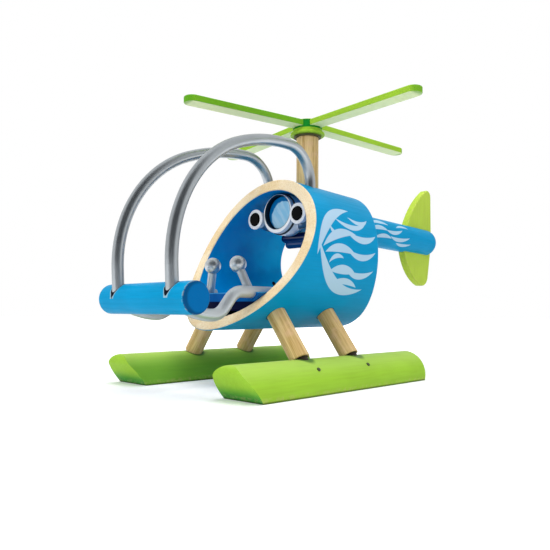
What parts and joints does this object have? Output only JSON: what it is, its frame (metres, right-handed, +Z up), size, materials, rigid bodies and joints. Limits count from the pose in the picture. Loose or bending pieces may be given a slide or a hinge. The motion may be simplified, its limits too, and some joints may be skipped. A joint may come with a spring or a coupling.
{
  "type": "toy helicopter",
  "caption": "Toy helicopter with a slant-cut tube body on two dowel skids, a tail boom with a fin, bent tubes round an open cabin, a small face inside and a rotor that spins.",
  "frame": {"origin": "on the ground, under the middle of the toy's length and width", "axes": "+X towards the nose, +Y towards the pilot's left, +Z up"},
  "size_m": [0.2821, 0.1816, 0.1661],
  "materials": {
    "blue_paint": "satin paint over bamboo, pale ornament, bare cut rims",
    "green_paint": "satin paint over wood",
    "bare_wood": "bare sanded wood",
    "silver_tube": "satin",
    "dark_paint": "gloss paint over wood",
    "white_enamel": "gloss",
    "black_enamel": "gloss",
    "dark_washer": "matte",
    "nail_steel": "bright"
  },
  "bodies": {
    "frame": {"body_tube": "blue_paint", "tail_boom": "blue_paint", "nose_bar": "blue_paint", "tail_fin": "green_paint", "rotor_mast": "bare_wood", "rotor_washer": "dark_washer", "rotor_pin": "nail_steel", "cabin_floor": "dark_paint", "pilot_head": "silver_tube", "eye_bar": "silver_tube", "mouth": "dark_paint", "arch_left": "silver_tube", "rail_left": "silver_tube", "lever_left": "silver_tube", "knob_left": "silver_tube", "eye_ring_left": "white_enamel", "pupil_left": "black_enamel", "skid_left": "green_paint", "leg_front_left": "bare_wood", "nail_front_left": "nail_steel", "leg_rear_left": "bare_wood", "nail_rear_left": "nail_steel", "arch_right": "silver_tube", "rail_right": "silver_tube", "lever_right": "silver_tube", "knob_right": "silver_tube", "eye_ring_right": "white_enamel", "pupil_right": "black_enamel", "skid_right": "green_paint", "leg_front_right": "bare_wood", "nail_front_right": "nail_steel", "leg_rear_right": "bare_wood", "nail_rear_right": "nail_steel"},
    "rotor": {"rotor_hub": "green_paint", "rotor_blade_1": "green_paint", "rotor_blade_2": "green_paint", "rotor_blade_3": "green_paint", "rotor_blade_4": "green_paint"}
  },
  "joints": [
    {"name": "rotor_spin", "type": "hinge", "parent": "frame", "child": "rotor", "pos_m": [0.013, 0, 0.16], "axis": [0, 0, 1], "continuous": true}
  ]
}
